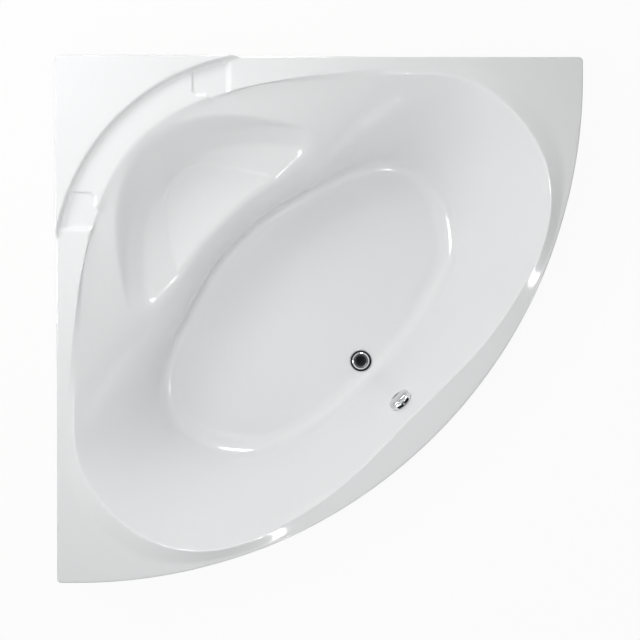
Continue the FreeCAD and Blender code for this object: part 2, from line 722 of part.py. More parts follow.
def makeOverflow():
    knob, rise, back = dim.knob_radius, dim.knob_rise, dim.elbow_back
    spigot, bore, stem, gap = dim.spigot_radius, dim.spigot_bore, dim.stem_radius, dim.running
    skin = -dim.boss_back
    seal = skin - 2
    turned("overflow_seal", [ringLoop(28, 35, seal, skin)], OVERFLOW)
    body = turned("overflow_body", [[
        (spigot + gap, seal), (36, seal), (36, seal - 4), (29, seal - 4), (29, -back),
        (0, -back), (0, 4 - back), (spigot + gap, 4 - back),
    ]], OVERFLOW)
    addSideTube(body, "overflow_port", 0, -dim.pipe_back, -dim.overflow_end, -22, dim.pipe_radius + 2,
                bore=dim.pipe_radius - dim.pipe_wall, reach=-10)
    addSideTube(body, "cable_exit", dim.cable_side, -dim.pipe_back, -dim.exit_end, -16, 5)

    face = turned("overflow_face", [[
        (bore, -dim.overflow_spigot), (spigot, -dim.overflow_spigot), (spigot, 0),
        (knob - 2, 0), (knob - 2, 1.7), (knob - 3, 2.5),
        (bore, 2.5),
    ]], OVERFLOW)
    addSpider(face, stem + gap, 7, bore + 1, -14, -5)

    wall, low = dim.knob_wall, dim.knob_gap
    cap = turned("overflow_knob", [[
        (knob - wall, low), (knob, low), (knob, rise - 3), (knob - 1, rise - 1), (knob - 3, rise),
        (0, rise), (0, rise - wall), (knob - 4, rise - wall), (knob - wall, rise - 4),
    ]], OVERFLOW)
    windows = newSketch(cap, "inlet_windows", "YZ_Plane", lift=20)
    reach = dim.window_reach
    for start, end in ((2, reach), (-reach, -2)):
        drawLoop(windows, [(start, low + 1.5), (end, low + 1.5), (end, rise - 4), (start, rise - 4)])
    pocket(cap, windows, 20, "inlet_cut", upward=True)
    groove = newSketch(cap, "grip_groove", lift=rise)
    side = dim.grip_side
    drawLoop(groove, [(13, -side), (15.5, -side), (15.5, side), (13, side)])
    pocket(cap, groove, 1.2, "grip_groove_cut")
    turned("knob_spindle", [[
        (0, 6 - back), (10, 6 - back), (10, 10 - back), (stem, 10 - back),
        (stem, rise - wall), (0, rise - wall),
    ]], OVERFLOW)


def makeOverflowPipe():
    """Pipe and lifting cable run side by side down the back of the front wall to the waste."""
    down = Rotation(Vector(0, 1, 0), 270 - dim.overflow_tilt.value)
    back = -dim.pipe_back.value
    drain = dim.drain_x.value
    runs = [
        ("overflow_pipe", -dim.overflow_end.value, 0, dim.port_z.value, drain + dim.port_end.value, 36,
         dim.pipe_radius, dim.pipe_radius - dim.pipe_wall),
        ("lifting_cable", -dim.exit_end.value, dim.cable_side.value, (dim.port_z - dim.entry_drop).value,
         drain + dim.entry_end.value, 40, dim.cable_radius, None),
    ]
    for label, start, side, level, end, bend, outer, inner in runs:
        frame = Placement(OVERFLOW.multVec(Vector(start, side, back)), down)
        along = down.multVec(Vector(0, 0, 1))
        length = (level - frame.Base.z) / along.z
        corner = frame.Base + along * length
        local = frame.inverse().multVec(Vector(end, side, level))
        path = bentPath([(0, 0), (0, length), (local.x, local.z)], bend)
        bentTube(label, frame, path, outer, inner)
        if inner is not None:
            turned("pipe_nut_upper", [nutLoop(outer)], frame)
    mouth = Vector(drain + dim.port_end.value, 0, dim.port_z.value)
    lower = Placement(mouth, Rotation(Vector(0, 1, 0), 90))
    turned("pipe_nut_lower", [nutLoop(dim.pipe_radius)], lower)


def nutLoop(pipe):
    """A union nut: wide over the port behind it, narrow over the pipe in front."""
    gap = dim.running
    port, rim = pipe + 2 + gap, pipe + 4
    return [
        (port, -6), (rim, -6), (rim, 3.5), (rim - 1, 5), (pipe + gap, 5), (pipe + gap, 0), (port, 0),
    ]


# ---- boards, rails and feet ----

SCREWS = [(x, y) for x, reach in (("front", 250), ("rear", 280)) for y in (-reach, -120, 120, reach)]


def feet():
    """Each foot's name and place."""
    front, rear = dim.front_reach, dim.rear_reach
    return [
        ("front_left", dim.front_rail_x, -front), ("front_right", dim.front_rail_x, front),
        ("rear_left", dim.rear_rail_x, -rear), ("rear_right", dim.rear_rail_x, rear),
        ("corner", dim.spine_foot_x, asSize(0)),
    ]


def screwPlaces():
    rails = {"front": dim.front_rail_x, "rear": dim.rear_rail_x}
    return [(rails[rail], y) for rail, y in SCREWS]


def makeBoards():
    boardTop = dim.rim_height - dim.basin_depth - dim.wall
    board = newBody("base_board")
    outline = newSketch(board, "board_outline", lift=boardTop - dim.board)
    drawChain(outline, [ringCurve(grown(FLOOR_EDGE, -dim.board_inset.value), 0)])
    pad(board, outline, dim.board, "board_pad")
    notch = newSketch(board, "waste_notch", lift=boardTop - dim.board)
    left = dim.drain_x - 57
    drawLoop(notch, [(left, -55), (left + 150, -55), (left + 150, 55), (left, 55)])
    pocket(board, notch, dim.board, "notch_cut", upward=True)
    pilots = newSketch(board, "screw_pilots", lift=boardTop - dim.board)
    for x, y in screwPlaces():
        drawCircle(pilots, x, y, dim.screw_radius)
    pocket(board, pilots, 12, "pilot_cut", upward=True)

    seatUnder = dim.rim_height - dim.seat_drop - dim.wall
    seat = newBody("seat_board")
    outline = newSketch(seat, "seat_outline", lift=seatUnder - dim.board)
    drawLoop(outline, [(490, -70), (632, -130), (632, 130), (490, 70)])
    pad(seat, outline, dim.board, "seat_pad")

    post = newBody("seat_post")
    railTop = boardTop - dim.board
    section = newSketch(post, "post_section", lift=railTop)
    half = dim.rail_width / 2
    for size in (half, half - dim.rail_wall):
        drawLoop(section, [
            (dim.post_x - size, -size), (dim.post_x + size, -size),
            (dim.post_x + size, size), (dim.post_x - size, size),
        ])
    pad(post, section, seatUnder - dim.board - railTop, "post_length")


def rail(label, along, middle, start, length, holes):
    """A box tube under the boards, along the tub's x or y, drilled for its studs and screws."""
    body = newBody(label)
    top = dim.rim_height - dim.basin_depth - dim.wall - dim.board
    low, half, wall = top - dim.rail_height, dim.rail_width / 2, dim.rail_wall
    role = "YZ_Plane" if along == "x" else "XZ_Plane"
    section = newSketch(body, f"{label}_section", role, lift=start if along == "x" else -asSize(start))
    for inset in (asSize(0), wall):
        drawLoop(section, [
            (middle - half + inset, low + inset), (middle + half - inset, low + inset),
            (middle + half - inset, top - inset), (middle - half + inset, top - inset),
        ])
    pad(body, section, length, f"{label}_length")
    drill = newSketch(body, f"{label}_holes", lift=low)
    for x, y, radius in holes:
        drawCircle(drill, x, y, radius)
    pocket(body, drill, dim.rail_height, f"{label}_drill", upward=True)


def makeFrame():
    stud, screw = dim.stud_radius + 0.5, dim.screw_radius + 0.2
    for label, x, reach in (
        ("front_rail", dim.front_rail_x, dim.front_reach), ("rear_rail", dim.rear_rail_x, dim.rear_reach),
    ):
        holes = [(x, -reach, stud), (x, reach, stud)]
        holes += [(px, py, screw) for px, py in screwPlaces() if px is x]
        half = reach + dim.rail_end
        rail(label, "y", x, half, half * 2, holes)
    half = dim.rail_width / 2
    rearEnd = dim.spine_foot_x - dim.rail_end
    rail("spine_rail_rear", "x", asSize(0), rearEnd, dim.rear_rail_x - half - rearEnd,
         [(dim.spine_foot_x, asSize(0), stud)])
    frontStart = dim.rear_rail_x + half
    frontEnd = dim.front_rail_x - half
    rail("spine_rail_front", "x", asSize(0), frontStart, frontEnd - frontStart,
         [((frontStart + frontEnd) / 2, asSize(0), screw)])


def group(label, members):
    """Loose identical fasteners kept together under one name."""
    bundle = doc.addObject("Part::Compound", label)
    bundle.Links = members
    bundle.Placement = STAND
    nodes.append(bundle)


def makeFasteners():
    top = dim.rim_height - dim.basin_depth - dim.wall - dim.board
    low = top - dim.rail_height
    screws = []
    for index, (x, y) in enumerate(screwPlaces()):
        place = Placement(Vector(x.value, y, 0), Rotation())
        head = cylinder(f"screw_head_{index}", dim.screw_radius * 2.2, low - 2.5, low, place)
        shank = cylinder(f"screw_shank_{index}", dim.screw_radius, low - 1, top + 12, place)
        screws.append(join(f"board_screw_{index}", [head, shank]))
    group("board_screws", screws)
    for label, level in (("foot_lock_nuts", low - dim.nut_height), ("foot_top_nuts", top)):
        nuts = []
        for name, x, y in feet():
            place = Placement(Vector(x.value, y.value, level.value), Rotation())
            block = doc.addObject("Part::Prism", f"{label}_{name}_block")
            block.Polygon = 6
            bind(block, "Circumradius", dim.nut_flat / math.sqrt(3))
            bind(block, "Height", dim.nut_height)
            block.Placement = place
            hole = cylinder(f"{label}_{name}_hole", dim.stud_radius + dim.running, 0, dim.nut_height, place)
            nuts.append(cutAway(f"{label}_{name}", block, hole))
        group(label, nuts)


def makeFeet():
    stud, sole, high = dim.stud_radius, dim.pad_radius, dim.pad_height
    for name, x, y in feet():
        place = Placement(Vector(x.value, y.value, 0), Rotation())
        turned(f"foot_pad_{name}", [[
            (0, 0), (sole, 0), (sole, 5), (sole - 16, high), (stud, high), (stud, 5), (0, 5),
        ]], place)
        turned(f"foot_stud_{name}", [[
            (0, 5), (stud, 5), (stud, dim.stud_top - 1), (stud - 1, dim.stud_top), (0, dim.stud_top),
        ]], place)


# ---- front panel and wall brackets ----

def panelLoop(inset, thickness):
    """The strip between two copies of the tub's front outline."""
    side, flat, end = dim.side.value, dim.end_flat.value, dim.wall.value + 1
    edges = []
    for number, gap in enumerate((inset, inset + thickness)):
        reach = side - gap
        tips = [fromWalls(reach, end), fromWalls(reach, flat), fromWalls(flat, reach), fromWalls(end, reach)]
        middle = fromWalls(flat, flat) + Vector(reach - flat, 0, 0)
        run = [
            Part.LineSegment(tips[0], tips[1]), Part.Arc(tips[1], middle, tips[2]),
            Part.LineSegment(tips[2], tips[3]),
        ]
        if number == 0:
            outerTips = tips
            edges += run
        else:
            edges.append(Part.LineSegment(outerTips[3], tips[3]))
            edges += [
                Part.LineSegment(tips[3], tips[2]), Part.Arc(tips[2], middle, tips[1]),
                Part.LineSegment(tips[1], tips[0]), Part.LineSegment(tips[0], outerTips[0]),
            ]
    return edges


ARC_CENTRE = fromWalls(dim.end_flat.value, dim.end_flat.value)


def panelFrames():
    """The two radial planes in which the panel is screwed to its brackets."""
    turn = math.degrees(math.asin(dim.strip_y.value / (dim.side - dim.end_flat).value))
    return [
        (name, Placement(ARC_CENTRE, Rotation(Vector(0, 0, 1), sign * turn)))
        for name, sign in (("left", -1), ("right", 1))
    ]


def makePanel():
    """A curved sheet tucked behind the rim's skirt, with a lip along its foot."""
    body = newBody("front_panel")
    sheet = newSketch(body, "panel_strip", lift=dim.panel_foot)
    drawChain(sheet, panelLoop(dim.wall.value, dim.panel_wall.value))
    pad(body, sheet, dim.panel_top - dim.panel_foot, "panel_sheet")
    lip = newSketch(body, "panel_lip", lift=dim.panel_foot)
    drawChain(lip, panelLoop(dim.wall.value + 1, dim.panel_wall.value + dim.panel_lip.value))
    pad(body, lip, dim.panel_wall, "panel_lip_pad")
    level, inner = dim.screw_level, (dim.side - dim.end_flat - dim.wall - dim.panel_wall)
    tools = []
    screws = []
    for name, frame in panelFrames():
        frame = frame * Placement(Vector(0, 0, level.value), Rotation(Vector(0, 1, 0), 90))
        shank = cylinder(f"panel_shank_{name}", dim.screw_radius, inner - 8, inner + dim.panel_wall, frame)
        head = cylinder(f"panel_head_{name}", dim.screw_radius * 2.2, inner + dim.panel_wall,
                        inner + dim.panel_wall + 2.5, frame)
        screws.append(join(f"panel_screw_{name}", [shank, head]))
        tools.append(cylinder(f"panel_hole_{name}", dim.screw_radius + 0.2, inner - 2,
                              inner + dim.panel_wall + 2, frame))
    body.Placement = Placement()
    nodes.remove(body)
    drilled = cutAway("front_panel_drilled", body, join("panel_holes", tools))
    body.Label = "front_panel_blank"
    drilled.Label = "front_panel"
    drilled.Placement = STAND
    nodes.append(drilled)
    group("panel_screws", screws)


def makePanelBrackets():
    inner = dim.side - dim.end_flat - dim.wall - dim.panel_wall - 0.3
    railLow = dim.rim_height - dim.basin_depth - dim.wall - dim.board - dim.rail_height
    thick = dim.bracket_wall
    for name, frame in panelFrames():
        body = newBody(f"panel_bracket_{name}", frame)
        strip = newSketch(body, "strip", "XZ_Plane")
        back = dim.front_rail_x - ARC_CENTRE.x + 50
        drawLoop(strip, [
            (back, railLow - thick), (inner - thick, railLow - thick), (inner - thick, railLow - 35),
            (inner, railLow - 35), (inner, railLow), (back, railLow),
        ])
        pad(body, strip, 25, "strip_width", middle=True)
        hole = newSketch(body, "screw_hole", "YZ_Plane", lift=inner - 10)
        drawCircle(hole, 0, dim.screw_level, dim.screw_radius)
        pocket(body, hole, 20, "screw_cut", upward=True)


def makeWallBrackets():
    """Four hooks screwed to the walls: the rim's skirt stands in them."""
    half = dim.side.value / 2
    low = dim.rim_height - dim.skirt
    thick = dim.bracket_wall
    places = []
    for name, along in (("inner", dim.bracket_inner.value), ("outer", dim.bracket_outer.value)):
        places.append((f"left_{name}", Placement(Vector(-half, half - along, 0), Rotation())))
        places.append((f"rear_{name}", Placement(
            Vector(along - half, half, 0), Rotation(Vector(0, 0, 1), -90))))
    for name, place in places:
        body = newBody(f"wall_bracket_{name}")
        body.Placement = place
        hook = newSketch(body, "hook", "XZ_Plane")
        drawLoop(hook, [
            (0, low - 55), (thick, low - 55), (thick, low - thick), (thick + 8, low - thick),
            (thick + 8, low + 13), (thick + 5, low + 13), (thick + 5, low), (0, low),
        ])
        pad(body, hook, dim.bracket_length, "hook_length", middle=True)
        holes = newSketch(body, "wall_screw_holes", "YZ_Plane", lift=-1)
        for side in (-dim.bracket_pitch / 2, dim.bracket_pitch / 2):
            drawCircle(holes, side, low - 35, dim.bracket_hole)
        pocket(body, holes, thick + 2, "wall_screw_cut", upward=True)


makeShell()
makeWaste()
makeTrap()
makeOverflow()
makeOverflowPipe()
makeBoards()
makeFrame()
makeFasteners()
makeFeet()
makePanel()
makePanelBrackets()
makeWallBrackets()


# ---- checks and export ----

def finish():
    doc.recompute()
    for thing in doc.Objects:
        if "Invalid" in thing.State or "Error" in thing.State:
            raise RuntimeError(f"{thing.Label} failed: {thing.State}")
    for body in nodes:
        shape = body.Shape
        if shape.isNull() or not shape.isValid():
            raise RuntimeError(f"{body.Label} has no valid shape")
        box = shape.BoundBox
        print(f"{body.Label}: {len(shape.Solids)} solid, {shape.Volume / 1000:.1f} cm3, "
              f"z {box.ZMin:.1f} to {box.ZMax:.1f}")
        shape.exportStep(f"parts/{body.Label}.step")


os.makedirs("parts", exist_ok=True)
finish()
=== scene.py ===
import json
import math

import bmesh
import bpy
import numpy as np
from mathutils import Matrix, Vector

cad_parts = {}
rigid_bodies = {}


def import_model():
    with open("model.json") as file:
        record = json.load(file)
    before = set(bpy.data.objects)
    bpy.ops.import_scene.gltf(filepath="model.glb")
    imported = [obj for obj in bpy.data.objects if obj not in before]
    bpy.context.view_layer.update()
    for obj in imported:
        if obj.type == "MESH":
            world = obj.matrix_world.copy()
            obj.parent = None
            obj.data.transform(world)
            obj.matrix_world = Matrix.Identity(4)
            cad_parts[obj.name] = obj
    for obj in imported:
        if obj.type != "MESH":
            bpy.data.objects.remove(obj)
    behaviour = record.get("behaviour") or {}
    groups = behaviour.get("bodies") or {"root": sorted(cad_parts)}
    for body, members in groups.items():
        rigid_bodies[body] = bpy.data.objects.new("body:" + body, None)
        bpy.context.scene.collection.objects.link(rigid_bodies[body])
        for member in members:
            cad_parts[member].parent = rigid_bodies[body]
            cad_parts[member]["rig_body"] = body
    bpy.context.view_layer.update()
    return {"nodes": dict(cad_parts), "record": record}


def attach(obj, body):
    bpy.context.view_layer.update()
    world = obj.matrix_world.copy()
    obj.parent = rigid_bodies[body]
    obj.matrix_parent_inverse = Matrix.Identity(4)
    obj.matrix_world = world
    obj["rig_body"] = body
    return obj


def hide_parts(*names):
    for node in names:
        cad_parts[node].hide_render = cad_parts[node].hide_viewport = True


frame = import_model()
nodes = frame["nodes"]
print("frame loaded:", len(nodes), "nodes")

# The tub is drawn in millimetres in its diagonal frame: s runs from the room corner across the
# tub to the middle of the round front, t across it. stand turns that into the frame's metres.
tub = {
    "side": 1500.0, "rim": 570.0, "floor": 140.0, "flat": 60.0, "corner": 12.0,
    "drain": (1247, 0, 0), "overflow": (1402, 0, 455), "overflowTilt": -70,
}
slant = math.sqrt(0.5)
stand = (
    Matrix.Translation((-0.75, 0.75, 0)) @ Matrix.Rotation(math.radians(-45), 4, "Z")
    @ Matrix.Scale(0.001, 4)
)
drainFrame = stand @ Matrix.Translation(tub["drain"])
overflowFrame = (
    stand @ Matrix.Translation(tub["overflow"])
    @ Matrix.Rotation(math.radians(tub["overflowTilt"]), 4, "Y")
)


# ---- camera ----

view = {"height": 3.77, "lens": 63.4}  # metres over the floor, and millimetres
camera = bpy.data.cameras.new("camera")
camera.lens = view["lens"]
cameraObject = bpy.data.objects.new("camera", camera)
cameraObject.location = (0, 0, view["height"])
bpy.context.scene.collection.objects.link(cameraObject)
bpy.context.scene.camera = cameraObject
bpy.context.scene.view_settings.view_transform = "Standard"


# ---- materials ----

class Wire:  # a socket that adds Math nodes when it is used in an expression
    def __init__(self, tree, socket):
        self.tree = tree
        self.socket = socket

    def maths(self, operation, *others):
        node = self.tree.nodes.new("ShaderNodeMath")
        node.operation = operation
        for slot, value in zip(node.inputs, others):
            if isinstance(value, Wire):
                self.tree.links.new(value.socket, slot)
            else:
                slot.default_value = value
        return Wire(self.tree, node.outputs[0])

    def __add__(self, other):
        return self.maths("ADD", self, other)

    def __radd__(self, other):
        return self.maths("ADD", other, self)

    def __sub__(self, other):
        return self.maths("SUBTRACT", self, other)

    def __rsub__(self, other):
        return self.maths("SUBTRACT", other, self)

    def __mul__(self, other):
        return self.maths("MULTIPLY", self, other)

    def __rmul__(self, other):
        return self.maths("MULTIPLY", other, self)


class Paint:  # a material or world tree with one method for every other node
    def __init__(self, owner):
        owner.use_nodes = True
        self.owner = owner
        self.tree = owner.node_tree

    def node(self, kind, settings, sockets, output=0):
        node = self.tree.nodes.new("ShaderNode" + kind)
        for name, value in settings.items():
            if name == "stops":
                stops = node.color_ramp.elements
                while len(stops) < len(value):
                    stops.new(0.5)
                for element, (position, colour) in zip(stops, value):
                    element.position = position
                    element.color = (*colour, 1)
            else:
                setattr(node, name, value)
        for name, value in sockets.items():
            self.feed(node.inputs[name], value)
        return Wire(self.tree, node.outputs[output])

    def feed(self, slot, value):
        if isinstance(value, Wire):
            self.tree.links.new(value.socket, slot)
        elif slot.type == "RGBA":
            slot.default_value = (*value, 1)
        else:
            slot.default_value = value

    def place(self, scale=(1, 1, 1)):
        spot = self.node("TexCoord", {}, {}, "Object")
        return self.node("Mapping", {}, {"Vector": spot, "Scale": scale})

    def noise(self, scale, detail=2.0, stretch=(1, 1, 1), distortion=0.0):
        return self.node("TexNoise", {}, {
            "Vector": self.place(stretch), "Scale": scale, "Detail": detail,
            "Distortion": distortion,
        })

    def mix(self, factor, one, two):
        node = self.tree.nodes.new("ShaderNodeMix")
        node.data_type = "RGBA"
        self.feed(node.inputs[0], factor)
        self.feed(node.inputs[6], one)
        self.feed(node.inputs[7], two)
        return Wire(self.tree, node.outputs[2])

    def bump(self, height, strength, distance, under=None):
        sockets = {"Height": height, "Strength": strength, "Distance": distance}
        if under is not None:
            sockets["Normal"] = under
        return self.node("Bump", {}, sockets)


def newMaterial(name, look):
    paint = Paint(bpy.data.materials.new(name))
    shader = paint.tree.nodes["Principled BSDF"]
    for key, value in look(paint).items():
        paint.feed(shader.inputs[key], value)
    return paint.owner


def acrylicLook(paint):  # cast sheet: even white, high gloss, a trace of orange peel
    cloud = paint.noise(2.5)
    peel = paint.noise(160.0, 3.0)
    return {
        "Base Color": paint.mix(cloud, (0.80, 0.805, 0.81), (0.83, 0.835, 0.84)),
        "Roughness": 0.10 + 0.08 * paint.noise(45.0, 3.0),
        "IOR": 1.49,
        "Normal": paint.bump(peel, 0.05, 0.0003),
    }


def backingLook(paint):  # chopped glass strands rolled in resin
    strands = paint.noise(70.0, 6.0, (1, 1, 3), 2.5)
    knots = paint.node("TexVoronoi", {"feature": "DISTANCE_TO_EDGE"}, {
        "Vector": paint.place((1, 2.5, 1)), "Scale": 55.0})
    tint = paint.mix(strands, (0.72, 0.66, 0.47), (0.55, 0.48, 0.30))
    return {
        "Base Color": tint,
        "Roughness": 0.42 + 0.25 * strands,
        "Normal": paint.bump(strands + 0.6 * knots, 0.6, 0.0012),
    }


def chromeLook(paint):  # bright plate with a little haze
    haze = paint.noise(90.0, 4.0)
    return {
        "Base Color": paint.mix(haze, (0.74, 0.75, 0.76), (0.80, 0.81, 0.82)),
        "Metallic": 1.0,
        "Roughness": 0.05 + 0.05 * haze,
        "Normal": paint.bump(paint.noise(400.0, 2.0), 0.02, 0.0001),
    }


def plasticLook(colour, shade, gloss, grain):  # moulded plastic with faint flow marks
    def look(paint):
        flow = paint.noise(18.0, 4.0, (1, 1, 0.4))
        fine = paint.noise(grain, 3.0)
        return {
            "Base Color": paint.mix(flow, colour, shade),
            "Roughness": gloss + 0.12 * fine,
            "Normal": paint.bump(fine, 0.12, 0.0003),
        }
    return look


def rubberLook(paint):  # black seal rubber with a grey bloom
    bloom = paint.noise(60.0, 5.0)
    return {
        "Base Color": paint.mix(bloom, (0.028, 0.028, 0.029), (0.06, 0.06, 0.062)),
        "Roughness": 0.62 + 0.2 * bloom,
        "Normal": paint.bump(paint.noise(700.0, 2.0), 0.2, 0.0002),
    }


def brassLook(paint):  # turned brass with fine lathe marks
    turning = paint.noise(160.0, 3.0, (1, 1, 14))
    return {
        "Base Color": paint.mix(turning, (0.66, 0.49, 0.24), (0.78, 0.61, 0.34)),
        "Metallic": 1.0,
        "Roughness": 0.22 + 0.18 * turning,
        "Normal": paint.bump(turning, 0.1, 0.0002),
    }


def zincLook(paint):  # bright zinc plate with faint crystals
    crystals = paint.node("TexVoronoi", {"feature": "F1"}, {"Vector": paint.place(), "Scale": 90.0})
    haze = paint.noise(25.0, 5.0)
    cloud = 0.6 * crystals + 0.4 * haze
    return {
        "Base Color": paint.mix(cloud, (0.50, 0.51, 0.53), (0.66, 0.67, 0.68)),
        "Metallic": 1.0,
        "Roughness": 0.28 + 0.25 * haze,
        "Normal": paint.bump(crystals, 0.08, 0.0002),
    }


def boardLook(paint):  # chipboard: pressed flakes of several browns
    flakes = paint.node("TexVoronoi", {"feature": "F1"}, {
        "Vector": paint.place((1, 2.2, 3)), "Scale": 210.0}, "Color")
    grey = paint.node("RGBToBW", {}, {"Color": flakes})
    browns = [(0.0, (0.30, 0.19, 0.10)), (0.45, (0.47, 0.33, 0.19)), (1.0, (0.63, 0.48, 0.30))]
    brown = paint.node("ValToRGB", {"stops": browns}, {"Fac": grey})
    return {
        "Base Color": brown,
        "Roughness": 0.72 + 0.2 * grey,
        "Normal": paint.bump(grey, 0.35, 0.0006),
    }


looks = {
    "acrylic": newMaterial("acrylic", acrylicLook),
    "backing": newMaterial("glass_backing", backingLook),
    "chrome": newMaterial("chrome", chromeLook),
    "white_plastic": newMaterial(
        "white_plastic", plasticLook((0.76, 0.77, 0.77), (0.70, 0.71, 0.70), 0.3, 350.0)),
    "rubber": newMaterial("rubber", rubberLook),
    "brass": newMaterial("brass", brassLook),
    "cable_sleeve": newMaterial(
        "cable_sleeve", plasticLook((0.035, 0.035, 0.04), (0.06, 0.06, 0.065), 0.45, 500.0)),
    "steel": newMaterial("zinc_steel", zincLook),
    "board": newMaterial("chipboard", boardLook),
    "foot_plastic": newMaterial(
        "foot_plastic", plasticLook((0.045, 0.045, 0.05), (0.08, 0.08, 0.085), 0.4, 300.0)),
}
print("materials made:", len(looks))


# ---- acrylic shell: sizes ----

shell = {
    "wall": 5.0, "skirtLow": 525.0, "edge": 4.0, "fillet": 18.0,
    # half outlines from the back middle round one side to the front middle, as (s, t)
    "rimEdge": [
        (333, 0), (372, 188), (452, 332), (566, 491), (719, 678), (865, 822),
        (1018, 866), (1235, 802), (1361, 646), (1434, 473), (1485, 292), (1515, 0),
    ],
    "mouthEdge": [
        (356, 0), (393, 191), (446, 324), (574, 483), (733, 664), (880, 781),
        (1020, 807), (1215, 757), (1337, 634), (1404, 463), (1437, 282), (1439, 0),
    ],
    "floorEdge": [
        (707, 0), (722, 150), (765, 300), (800, 405), (845, 485), (910, 534),
        (990, 552), (1120, 510), (1215, 430), (1262, 325), (1293, 180), (1300, 0),
    ],
    # how far the wall has come from the mouth's edge to the floor's at the seat's height
    "seatShare": [0.83, 0.81, 0.79, 0.72, 0.62, 0.52, 0.46, 0.44, 0.44, 0.45, 0.47, 0.48],
    "kneeShare": 0.8, "seat": 370.0, "knee": 182.0, "floorCentre": (1000.0, 0.0),
    # height of the mouth's edge at each ring point: the far ends stand up in a low roll
    "mouthLevels": [548, 548, 548, 548, 553, 567, 576, 578, 577, 574, 571, 570],
    # the shelf in the room corner ends in an arc, with the lower collar in front of it
    "shelf": 588.0, "collar": 566.0, "shelfRadius": 622.0, "shelfCentre": 871.6,
    "stepWidth": 7.0, "shelfReach": 616,
    # where a height starts to change along the deck, and over what width
    "collarEnd": (450, 12), "softEdgeStart": (462, 20), "farDeck": (450, 300), "endDrop": 10.0,
    "dish": 559.0, "dishEdge": 6.5, "softEdge": 15.0, "edgeShift": 0.6,
    "dishOutline": [
        (14, 386), (98, 386), (110, 398), (110, 425), (121, 436), (185, 436), (185, 474),
        (126, 474), (106, 492), (14, 492),
    ],
    # the seat's scoop at each depth: where its back stands, and how fast it spreads
    "scoop": [(0, 345, 24.0), (120, 406, 24.5), (172, 432, 21.5), (200, 447, 14.0)],
    "scoopSteps": 81, "scoopSoft": (6, 3), "scoopEnd": 860.0, "outside": 2000.0,
    # radii and heights of what carries the waste and the overflow
    "bosses": ((44, 130, 139.5), (38, -7, -0.5)),
    "holes": ((37.5, 136, 150), (38, 0, 14)),
    "bores": ((26, 120, 150), (26, -20, 14)),
    "roundSteps": 96, "mergeGap": 0.000001, "sharp": 38,
}

# How the shell's mesh lines are laid: counts, and gaps in millimetres.
weave = {
    "halfLines": 256, "rings": 92, "ringSamples": 4001,
    "wallEnds": (378, 745), "joinedSteps": 620,
    "anchorRuns": [985, 1215, 1478, 1814, 2016, 2206, 2395, 2691],
    "gap": 8.6, "backGap": 5.0, "dishGap": 3.2, "cornerGap": 2.5,
    "backSteps": 400, "dishReach": (376, 506), "cornerReach": 20, "gapSoft": 25,
    "skirtRows": 12, "edgeRows": 8, "deckRows": 240, "bandRows": 24, "wallRows": 150,
    "footRows": 40, "floorRows": 30,
    "fine": 1300, "softPasses": 3, "softFrom": 20, "lineSoft": 2, "mouthSoft": 6,
    # widths and axes of the passes that smooth the spacing: along the lines, then round the ring
    "weightSoft": ((4, 1), (4, 1), (3, 0), (3, 0)),
    "straightGap": 24, "turnWeight": 3.4, "leastWeight": 0.004,
}
ringPoints = len(shell["mouthEdge"])


# ---- acrylic shell: the basin's rings ----

def wholeRing(points):
    points = np.array(points, float)
    return np.concatenate([points, points[-2:0:-1] * (1, -1)])


ringSteps = np.concatenate([[0.0], np.cumsum(np.linalg.norm(
    np.diff(np.concatenate([wholeRing(shell["mouthEdge"]), shell["mouthEdge"][:1]]), axis=0),
    axis=1))])


def ringSpline(points):  # a closed cubic curve through a ring of points
    count = len(points)
    gap = np.diff(ringSteps)
    matrix = np.zeros((count, count))
    pull = np.zeros((count, 2))
    for k in range(count):
        matrix[k, k - 1] += gap[k - 1]
        matrix[k, k] += 2 * (gap[k - 1] + gap[k])
        matrix[k, (k + 1) % count] += gap[k]
        after = (points[(k + 1) % count] - points[k]) / gap[k]
        pull[k] = 6 * (after - (points[k] - points[k - 1]) / gap[k - 1])
    bend = np.linalg.solve(matrix, pull)

    def at(steps):
        steps = np.mod(steps, ringSteps[-1])
        k = np.clip(np.searchsorted(ringSteps, steps, "right") - 1, 0, count - 1)
        after = (k + 1) % count
        width = gap[k][:, None]
        one = (ringSteps[k + 1] - steps)[:, None]
        two = (steps - ringSteps[k])[:, None]
        curve = (bend[k] * one ** 3 + bend[after] * two ** 3) / (6 * width)
        curve += (points[k] / width - bend[k] * width / 6) * one
        return curve + (points[after] / width - bend[after] * width / 6) * two
    return at


def blendRings(one, two, share):
    share = np.concatenate([share, share[-2:0:-1]])[:, None]
    return one + (two - one) * share


rimRing, mouthRing, floorRing = (
    wholeRing(shell[name]) for name in ("rimEdge", "mouthEdge", "floorEdge"))
seatRing = blendRings(mouthRing, floorRing, np.array(shell["seatShare"]))
kneeRing = seatRing + (floorRing - seatRing) * shell["kneeShare"]


def outlineAt(run, inset):  # the tub's outline by its running length from the room corner
    side, flat, bend = tub["side"], tub["flat"], tub["corner"]
    reach, radius = side - flat, side - flat - inset
    turn = np.clip((run - side - flat) / reach, 0, None)
    near = flat + radius * np.sin(turn)
    far = flat + radius * np.cos(turn)
    onFlat = run < side + flat
    near = np.where(onFlat, run - side, near)
    far = np.where(onFlat, side - inset, far)
    corner = np.abs(run - side) <= bend
    angle = (run - side + bend) / (2 * bend) * math.pi / 2
    near = np.where(corner, bend - (bend - inset) * np.cos(angle), near)
    far = np.where(corner, side - bend + (bend - inset) * np.sin(angle), far)
    onWall = run < side - bend
    near = np.where(onWall, inset, near)
    far = np.where(onWall, run, far)
    first = run < bend
    angle = math.pi / 4 * (1 - run / bend)
    near = np.where(first, bend - (bend - inset) * np.cos(angle), near)
    far = np.where(first, bend - (bend - inset) * np.sin(angle), far)
    return np.stack([(near + far) * slant, (far - near) * slant], axis=-1)


# ---- acrylic shell: the deck and the seat ----

